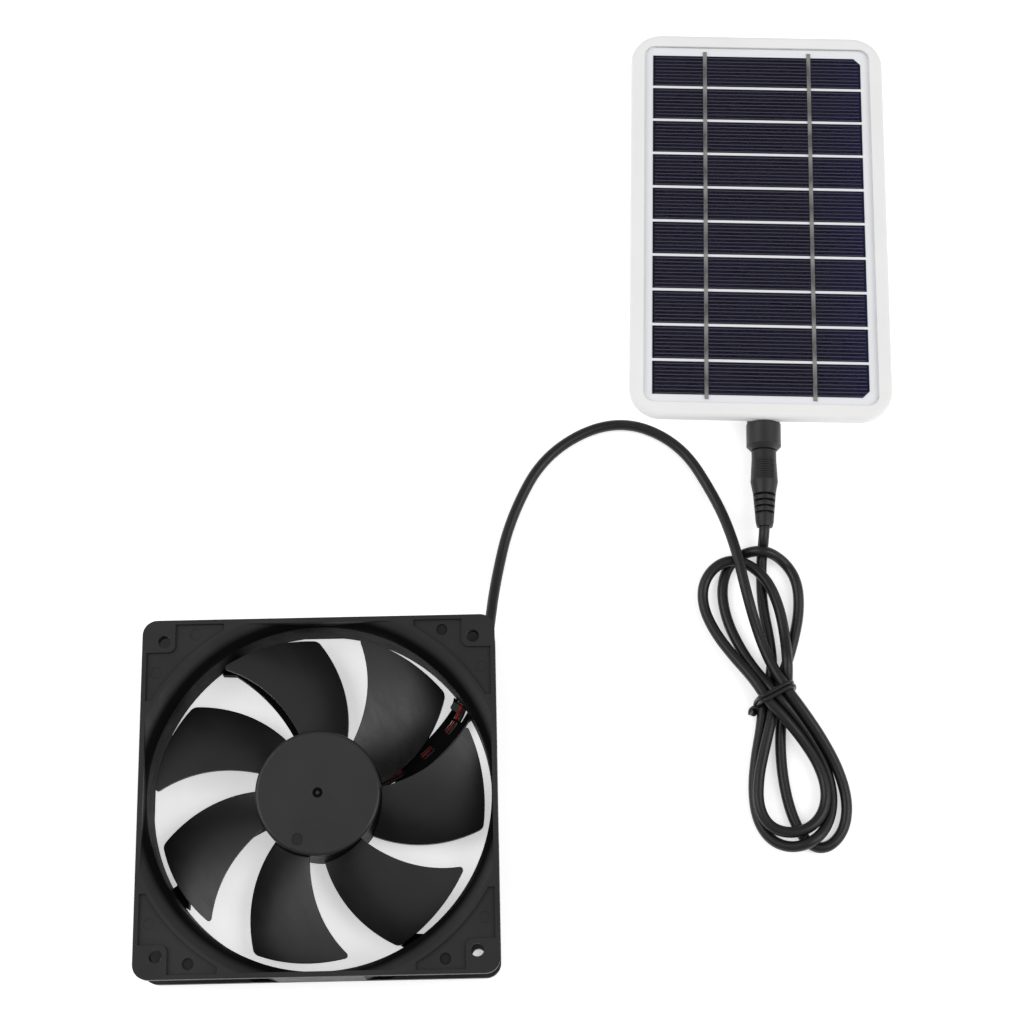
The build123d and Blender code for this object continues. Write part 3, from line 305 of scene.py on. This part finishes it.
# ------------------------------------------------------------------ materials
class Look:
    """A procedural material, with helpers that add and join its nodes."""

    def __init__(self, name, colour, roughness, metallic=0.0, specular=0.5, edge=0.0):
        self.mat = bpy.data.materials.new(name)
        self.mat.use_nodes = True
        self.tree = self.mat.node_tree
        self.shader = self.tree.nodes["Principled BSDF"]
        self.put("Base Color", (*colour, 1.0))
        self.put("Roughness", roughness)
        self.put("Metallic", metallic)
        self.put("Specular IOR Level", specular)
        self.coords = self.add("ShaderNodeTexCoord").outputs["Object"]
        self.height = None
        if edge:
            self.height = self.add("ShaderNodeBevel", {"Radius": edge * MM}, samples=4).outputs["Normal"]
            self.join(self.height, "Normal")

    def put(self, socket, value):
        self.shader.inputs[socket].default_value = value

    def add(self, kind, inputs=None, **settings):
        node = self.tree.nodes.new(kind)
        for key, value in settings.items():
            setattr(node, key, value)
        for key, value in (inputs or {}).items():
            socket = node.inputs[key]
            if isinstance(value, bpy.types.NodeSocket):
                self.tree.links.new(value, socket)
            else:
                socket.default_value = value
        return node

    def join(self, source, socket):
        self.tree.links.new(source, self.shader.inputs[socket])

    def placed(self, location=(0.0, 0.0, 0.0), turn=0.0, size=(1.0, 1.0, 1.0)):
        """Coordinates in millimetres about a place, turned about the vertical."""
        node = self.add("ShaderNodeMapping", {"Vector": self.coords}, vector_type="TEXTURE")
        node.inputs["Location"].default_value = [c * MM for c in location]
        node.inputs["Rotation"].default_value = (0.0, 0.0, math.radians(turn))
        node.inputs["Scale"].default_value = [s * MM for s in size]
        return node.outputs["Vector"]

    def noise(self, vector, scale, detail=3.0, rough=0.55, distortion=0.0):
        node = self.add("ShaderNodeTexNoise", {"Vector": vector, "Scale": scale, "Detail": detail,
                                               "Roughness": rough, "Distortion": distortion})
        return node.outputs["Fac"]

    def math(self, operation, a, b=0.0, c=0.0, clamp=False):
        node = self.add("ShaderNodeMath", {0: a, 1: b, 2: c}, operation=operation, use_clamp=clamp)
        return node.outputs[0]

    def spread(self, value, low, high, to_low=0.0, to_high=1.0):
        node = self.add("ShaderNodeMapRange", {"Value": value, "From Min": low, "From Max": high,
                                               "To Min": to_low, "To Max": to_high})
        return node.outputs["Result"]

    def distance(self, x, y, centre=(0.0, 0.0)):
        """How far a point is, in plan, from this centre."""
        dx = self.math("SUBTRACT", x, centre[0])
        dy = self.math("SUBTRACT", y, centre[1])
        squares = self.math("ADD", self.math("MULTIPLY", dx, dx), self.math("MULTIPLY", dy, dy))
        return self.math("SQRT", squares)

    def mix(self, share, a, b):
        node = self.add("ShaderNodeMix", data_type="RGBA")
        for socket, value in ((node.inputs[0], share), (node.inputs[6], a), (node.inputs[7], b)):
            if isinstance(value, bpy.types.NodeSocket):
                self.tree.links.new(value, socket)
            else:
                socket.default_value = (*value, 1.0) if isinstance(value, tuple) else value
        return node.outputs[2]

    def bump(self, height, distance, strength=1.0):
        """Adds a relief of this depth, in millimetres, to the surface."""
        node = self.add("ShaderNodeBump", {"Height": height, "Strength": strength, "Distance": distance * MM})
        if self.height is not None:
            self.tree.links.new(self.height, node.inputs["Normal"])
        self.height = node.outputs["Normal"]
        self.join(self.height, "Normal")


def shade(colour, factor):
    return tuple(min(1.0, c * factor) for c in colour)


# Levels and radii of the fan, in millimetres, that split its plastic into openly lit parts and parts with
# painted shade.
DUCT_LOW = 22.3
DUCT_HIGH = 23.9
DUCT_REACH = 64.0
SIDE_WALL = 59.85
MARK_REACH = 58.5
MARK_LOW = 21.0
HUB_R = 21.25
HUB_TOP = 24.9
GATE_R = 1.7
NUB_R = 0.62
EJECTOR_R = 2.0
EJECTOR_AT = (-6.6, -15.4)
HUB_SIDE_TOP = HUB_TOP - 1.3
HUB_FACE_LOW = HUB_TOP - 0.05
# Painted shade: how far the colour and the specular drop in the shaded parts, and how much of it the ejector
# mark gets.
EJECTOR_PAINTED_SHADE = 0.35
PAINTED_SHADE = 0.3
PAINTED_SHADE_SPECULAR = 0.08


def duct_lit_share(look, at, low, high):
    """The lit share of the frame: nought down in the duct and in the flange's marks and holes, which get
    painted shade, and one everywhere else.
    """
    split = look.add("ShaderNodeSeparateXYZ", {"Vector": at})
    x, y, z = split.outputs["X"], split.outputs["Y"], split.outputs["Z"]
    square = look.math("MAXIMUM", look.math("ABSOLUTE", x), look.math("ABSOLUTE", y))
    round_duct = look.math("LESS_THAN", look.distance(x, y), DUCT_REACH)
    duct = look.math("MULTIPLY", look.math("LESS_THAN", square, SIDE_WALL), round_duct)
    flange = look.math("LESS_THAN", square, MARK_REACH)
    mark = look.math("MULTIPLY", flange, look.math("GREATER_THAN", z, MARK_LOW))
    below = look.math("SUBTRACT", 1.0, look.spread(z, low, high))
    shaded = look.math("MULTIPLY", below, look.math("MAXIMUM", duct, mark))
    return look.math("SUBTRACT", 1.0, shaded)


def hub_lit_share(look, at):
    """The lit share of the impeller: nought on the hub's side and in its marks, which get painted shade, and
    one on its face and the blades.
    """
    split = look.add("ShaderNodeSeparateXYZ", {"Vector": at})
    x, y, z = split.outputs["X"], split.outputs["Y"], split.outputs["Z"]
    middle = look.distance(x, y)
    # Painted shade on the hub's side and down in the gate pit and the ejector mark.
    beside = look.math("LESS_THAN", z, HUB_SIDE_TOP)
    side = look.math("MULTIPLY", look.math("LESS_THAN", middle, HUB_R), beside)
    low = look.math("LESS_THAN", z, HUB_FACE_LOW)
    off_nub = look.math("GREATER_THAN", middle, NUB_R)
    pit = look.math("MULTIPLY", look.math("LESS_THAN", middle, GATE_R), off_nub)
    ejector = look.math("LESS_THAN", look.distance(x, y, EJECTOR_AT), EJECTOR_R)
    mark = look.math("MULTIPLY", ejector, EJECTOR_PAINTED_SHADE)
    marks = look.math("MULTIPLY", look.math("MAXIMUM", pit, mark), low)
    return look.math("SUBTRACT", 1.0, look.math("MAXIMUM", side, marks))


def moulded(name, colour, roughness, grain=1.6, relief=0.02, dust=0.0, specular=0.5, sheen=0.0, edge=0.0,
            vary=0.2, painted_duct_shade=None, hub=False):
    """Moulded plastic: fine texture, slow changes of tone and gloss, faint rub marks and dust, and for the fan
    painted shade in its duct, marks and hub side.
    """
    look = Look(name, colour, roughness, specular=specular, edge=edge)
    at = look.placed()
    slow = look.noise(at, 0.035, 2.0)
    fine = look.noise(at, grain, 4.0, 0.6)
    rub = look.noise(look.placed(size=(1.0, 6.0, 1.0), turn=31.0), 0.22, 5.0, 0.65, 0.6)
    tone = look.mix(look.spread(slow, 0.35, 0.65), shade(colour, 1.0 - vary), shade(colour, 1.0 + vary))
    if dust:
        specks = look.spread(look.noise(at, 3.1, 2.0), 0.66, 0.74)
        tone = look.mix(look.math("MULTIPLY", specks, dust), tone, (0.32, 0.31, 0.29))
    # Painted shade: darker colour and weaker specular where the fan's duct, recesses and hub side would be in
    # shade.
    lit_share = None
    if painted_duct_shade:
        lit_share = duct_lit_share(look, at, *painted_duct_shade)
    if hub:
        lit_share = hub_lit_share(look, at)
    if lit_share is not None:
        tone = look.mix(lit_share, shade(colour, PAINTED_SHADE), tone)
        shine = look.math("MULTIPLY", look.spread(lit_share, 0.0, 1.0, PAINTED_SHADE_SPECULAR, 1.0), specular)
        look.join(shine, "Specular IOR Level")
    look.join(tone, "Base Color")
    gloss = look.math("ADD", look.spread(rub, 0.3, 0.7, roughness - 0.05, roughness + 0.07),
                      look.spread(fine, 0.3, 0.7, -0.04, 0.04), clamp=True)
    look.join(gloss, "Roughness")
    look.bump(fine, relief)
    look.bump(rub, relief * 0.6, 0.5)
    if sheen:
        look.put("Sheen Weight", sheen)
        look.put("Sheen Roughness", 0.6)
    return look.mat


def fan_looks():
    """The frame and the impeller, with painted shade (a darker colour and a weaker specular) down in the duct,
    under the hub and in its marks.
    """
    frame_look = moulded("fan_black", (0.0155, 0.0155, 0.0165), 0.5, specular=0.3, grain=2.2, relief=0.035,
                         dust=0.05, edge=0.3, painted_duct_shade=(DUCT_LOW, DUCT_HIGH))
    wheel_look = moulded("impeller_black", (0.0125, 0.0125, 0.0133), 0.42, specular=0.45, grain=2.6,
                         relief=0.02, dust=0.04, edge=0.35, hub=True)
    return frame_look, wheel_look


def metal(name, colour, roughness, brushed=(1.0, 1.0, 14.0), relief=0.006, tarnish=0.25, tint=None):
    """Metal: drawn or turned lines and tarnish in patches."""
    look = Look(name, colour, roughness, metallic=1.0)
    at = look.placed()
    lines = look.noise(look.placed(size=brushed), 2.4, 3.0, 0.6)
    patches = look.noise(at, 0.3, 4.0, 0.6, 0.4)
    dull = tint or shade(colour, 0.55)
    tone = look.mix(look.spread(patches, 0.42, 0.72, 0.0, tarnish), colour, dull)
    look.join(tone, "Base Color")
    gloss = look.math("ADD", look.spread(patches, 0.35, 0.7, roughness, roughness + 0.16),
                      look.spread(lines, 0.3, 0.7, -0.05, 0.06), clamp=True)
    look.join(gloss, "Roughness")
    look.bump(lines, relief)
    return look.mat


def vinyl(name, colour, roughness=0.42, specular=0.45, relief=0.012):
    """Soft extruded vinyl: a waxy gloss, extrusion ripple and finger marks."""
    look = Look(name, colour, roughness, specular=specular)
    at = look.placed()
    fine = look.noise(at, 2.2, 3.0, 0.6)
    slow = look.noise(at, 0.12, 3.0, 0.6)
    marks = look.noise(at, 0.5, 5.0, 0.7, 1.2)
    look.join(look.mix(look.spread(slow, 0.3, 0.7), shade(colour, 0.85), shade(colour, 1.25)), "Base Color")
    look.join(look.spread(marks, 0.3, 0.72, roughness - 0.07, roughness + 0.12), "Roughness")
    look.bump(fine, relief)
    look.bump(slow, relief * 5.0, 0.5)
    return look.mat


PANEL_AT = (159.9, 209.0, 0.0)
PANEL_TURN = -2.485
CELL_PITCH = 13.7
CELL_H = 12.6
CELL_FIELD = 135.9
FINGER_REACH = 38.2
FINGER_PITCH = 1.41
FINGER_W = 0.34
FINGER_START = 0.46


def silicon():
    """Cells: near-black blue silicon with crystal grain and fine printed fingers along each strip."""
    look = Look("silicon_cell", (0.004, 0.004, 0.013), 0.3, specular=0.1)
    at = look.placed(PANEL_AT, PANEL_TURN)
    split = look.add("ShaderNodeSeparateXYZ", {"Vector": at})
    x, y = split.outputs["X"], split.outputs["Y"]
    slow = look.noise(look.placed(PANEL_AT, PANEL_TURN, (14.0, 4.0, 4.0)), 1.0, 3.0, 0.5)
    grain = look.add("ShaderNodeTexVoronoi", {"Vector": at, "Scale": 0.55, "Randomness": 1.0}).outputs["Color"]
    grain_tone = look.add("ShaderNodeSeparateColor", {"Color": grain}).outputs["Red"]
    # Painted reflection: the cells turn lighter and bluer towards the panel's right side.
    right = look.spread(x, 20.0, 39.0)
    blue = look.math("MULTIPLY_ADD", look.spread(slow, 0.35, 0.7), 0.2,
                     look.math("MULTIPLY", right, 0.8), clamp=True)
    base = look.mix(blue, (0.0032, 0.0028, 0.0105), (0.0042, 0.0056, 0.0350))
    base = look.mix(look.spread(grain_tone, 0.0, 1.0, 0.0, 0.2), base, (0.0070, 0.0068, 0.0235))
    rise = look.math("MODULO", look.math("ADD", y, CELL_FIELD / 2.0), CELL_PITCH)
    from_start = look.math("SUBTRACT", rise, FINGER_START - FINGER_PITCH / 2.0)
    share = look.math("FRACT", look.math("DIVIDE", from_start, FINGER_PITCH))
    line = look.spread(look.math("ABSOLUTE", look.math("SUBTRACT", share, 0.5)),
                       FINGER_W / FINGER_PITCH * 0.35, FINGER_W / FINGER_PITCH * 0.65, 1.0, 0.0)
    inside = look.math("LESS_THAN", look.math("ABSOLUTE", x), FINGER_REACH)
    finger = look.math("MULTIPLY", line, inside)
    look.join(look.mix(finger, base, (0.058, 0.054, 0.078)), "Base Color")
    look.join(look.math("MULTIPLY_ADD", finger, 0.2, look.spread(slow, 0.3, 0.7, 0.22, 0.34)), "Roughness")
    look.bump(finger, 0.01, 0.4)
    return look.mat


def ribbon_metal():
    """Tinned copper tape: dull, uneven solder, brighter towards the ends of each cell."""
    look = Look("tinned_ribbon", (0.3, 0.3, 0.31), 0.45, metallic=0.2)
    at = look.placed(PANEL_AT, PANEL_TURN)
    split = look.add("ShaderNodeSeparateXYZ", {"Vector": at})
    rise = look.math("MODULO", look.math("ADD", split.outputs["Y"], CELL_FIELD / 2.0 + CELL_PITCH), CELL_PITCH)
    off_middle = look.math("ABSOLUTE", look.math("SUBTRACT", rise, CELL_H / 2.0 - 1.0))
    patches = look.noise(look.placed(PANEL_AT, PANEL_TURN, (1.0, 3.0, 1.0)), 0.9, 4.0, 0.65)
    tone = look.mix(look.spread(patches, 0.35, 0.7), (0.085, 0.084, 0.080), (0.19, 0.188, 0.18))
    tone = look.mix(look.spread(off_middle, 2.0, 6.3, 0.0, 0.7), tone, (0.34, 0.335, 0.32))
    look.join(tone, "Base Color")
    look.join(look.spread(patches, 0.3, 0.7, 0.4, 0.6), "Roughness")
    look.bump(patches, 0.05)
    return look.mat


def clear_film():
    """The clear resin over the cells: almost wholly see-through, with a soft gloss."""
    mat = bpy.data.materials.new("clear_film")
    mat.use_nodes = True
    tree = mat.node_tree
    tree.nodes.remove(tree.nodes["Principled BSDF"])
    out = tree.nodes["Material Output"]
    clear = tree.nodes.new("ShaderNodeBsdfTransparent")
    clear.inputs["Color"].default_value = (0.99, 0.992, 0.995, 1.0)
    gloss = tree.nodes.new("ShaderNodeBsdfGlossy")
    gloss.inputs["Roughness"].default_value = 0.12
    coords = tree.nodes.new("ShaderNodeTexCoord")
    ripple = tree.nodes.new("ShaderNodeTexNoise")
    ripple.inputs["Scale"].default_value = 38.0
    ripple.inputs["Detail"].default_value = 2.0
    bump = tree.nodes.new("ShaderNodeBump")
    bump.inputs["Distance"].default_value = 0.0004
    bump.inputs["Strength"].default_value = 0.25
    mix = tree.nodes.new("ShaderNodeMixShader")
    tree.links.new(coords.outputs["Object"], ripple.inputs["Vector"])
    tree.links.new(ripple.outputs["Fac"], bump.inputs["Height"])
    tree.links.new(bump.outputs["Normal"], gloss.inputs["Normal"])
    mix.inputs["Fac"].default_value = 0.007
    tree.links.new(clear.outputs["BSDF"], mix.inputs[1])
    tree.links.new(gloss.outputs["BSDF"], mix.inputs[2])
    tree.links.new(mix.outputs["Shader"], out.inputs["Surface"])
    return mat


FRAME_LOOK, WHEEL_LOOK = fan_looks()
LOOKS = {
    "fan_black": FRAME_LOOK,
    "impeller_black": WHEEL_LOOK,
    "brass": metal("brass", (0.78, 0.57, 0.25), 0.3),
    "bronze": metal("bronze", (0.55, 0.33, 0.16), 0.45, brushed=(1.0, 1.0, 1.0), relief=0.02),
    "felt": moulded("felt", (0.55, 0.5, 0.42), 0.9, grain=1.2, relief=0.2, sheen=0.5),
    "pad_nylon": moulded("pad_nylon", (0.7, 0.68, 0.6), 0.5, relief=0.01),
    "steel": metal("steel", (0.62, 0.62, 0.63), 0.25),
    "core_steel": metal("core_steel", (0.35, 0.36, 0.38), 0.4, brushed=(9.0, 9.0, 0.5), relief=0.03),
    "yoke_steel": metal("yoke_steel", (0.5, 0.51, 0.5), 0.35),
    "magnet": moulded("magnet", (0.035, 0.033, 0.033), 0.55, grain=1.5, relief=0.04),
    "bobbin": moulded("bobbin", (0.75, 0.73, 0.66), 0.45, relief=0.015),
    "copper": metal("copper", (0.83, 0.36, 0.17), 0.28, brushed=(8.0, 8.0, 0.35), relief=0.05, tarnish=0.15),
    "board_green": moulded("board_green", (0.01, 0.11, 0.04), 0.35, grain=1.2, relief=0.01),
    "chip_black": moulded("chip_black", (0.02, 0.02, 0.022), 0.5, relief=0.02),
    "capacitor": moulded("capacitor", (0.42, 0.3, 0.2), 0.4, relief=0.01),
    "label_silver": metal("label_silver", (0.75, 0.75, 0.76), 0.38, brushed=(1.0, 9.0, 1.0)),
    "wire_red": vinyl("wire_red", (0.3, 0.01, 0.008)),
    "wire_black": vinyl("wire_black", (0.013, 0.013, 0.014)),
    "clip_grey": moulded("clip_grey", (0.03, 0.03, 0.032), 0.45, relief=0.02),
    "cord_black": vinyl("cord_black", (0.006, 0.006, 0.0066), 0.36, 0.38),
    "tie_black": vinyl("tie_black", (0.006, 0.006, 0.0068), 0.32, 0.4),
    "plug_black": moulded("plug_black", (0.0125, 0.0125, 0.0135), 0.46, specular=0.4, grain=3.0, relief=0.02),
    "nickel": metal("nickel", (0.66, 0.64, 0.6), 0.2),
    "insulator": moulded("insulator", (0.02, 0.02, 0.02), 0.5),
    "panel_white": moulded("panel_white", (0.88, 0.88, 0.875), 0.55, grain=1.8, relief=0.01, specular=0.25,
                           edge=0.3, vary=0.012),
    "backsheet_white": moulded("backsheet_white", (0.9, 0.9, 0.915), 0.6, grain=0.8, relief=0.005, specular=0.2,
                               vary=0.01),
    "silicon": silicon(),
    "tinned_ribbon": ribbon_metal(),
    "clear_film": clear_film(),
    "diode_black": moulded("diode_black", (0.02, 0.02, 0.02), 0.35),
    "jack_black": moulded("jack_black", (0.014, 0.014, 0.0155), 0.45, grain=2.0, relief=0.02),
}

for obj in nodes.values():
    for slot in obj.material_slots:
        key = slot.material.name.split(".")[0] if slot.material else ""
        if key in LOOKS:
            slot.material = LOOKS[key]

for piece, look in ((cord, "cord_black"), (tie, "tie_black")):
    piece.data.materials.append(LOOKS[look])
    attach(piece, "root")
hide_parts("fan_cord", "cord_hank", "plug_cord")
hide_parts("cable_tie")


# ------------------------------------------------------------------ floor and lights
# The floor reaches this many metres each way from the origin.
FLOOR_REACH = 20.0
FLOOR_GLOW = 0.5
ROOM_GLOW = 0.48
SOFTBOX = 0.9
SOFTBOX_STRETCH = 1.5


def make_floor():
    mesh = bpy.data.meshes.new("floor")
    build = bmesh.new()
    bmesh.ops.create_grid(build, x_segments=8, y_segments=8, size=FLOOR_REACH)
    build.to_mesh(mesh)
    build.free()
    floor = bpy.data.objects.new("floor", mesh)
    bpy.context.collection.objects.link(floor)
    look = Look("floor_white", (0.92, 0.92, 0.92), 0.7, specular=0.1)
    look.put("Emission Color", (1.0, 1.0, 1.0, 1.0))
    look.put("Emission Strength", FLOOR_GLOW)
    tone = look.mix(look.noise(look.placed(), 0.01, 2.0), (0.915, 0.915, 0.915), (0.93, 0.93, 0.93))
    look.join(tone, "Base Color")
    mesh.materials.append(look.mat)


def make_light(name, place, aim, power):
    data = bpy.data.lights.new(name, "AREA")
    data.shape = "RECTANGLE"
    data.size = SOFTBOX
    data.size_y = SOFTBOX * SOFTBOX_STRETCH
    data.energy = power
    light = bpy.data.objects.new(name, data)
    light.location = place
    towards = Vector(aim) - Vector(place)
    light.rotation_euler = towards.to_track_quat("-Z", "Y").to_euler()
    bpy.context.collection.objects.link(light)


def make_world():
    world = bpy.data.worlds.new("studio")
    bpy.context.scene.world = world
    world.use_nodes = True
    back = world.node_tree.nodes["Background"]
    back.inputs["Color"].default_value = (1.0, 1.0, 1.0, 1.0)
    back.inputs["Strength"].default_value = ROOM_GLOW


make_floor()
make_world()
make_light("left", (-1.05, 0.2, 1.1), (0.05, 0.1, 0.0), 9.0)
make_light("right", (1.2, -0.15, 1.2), (0.1, 0.1, 0.0), 10.5)
bpy.context.scene.view_settings.view_transform = "Standard"
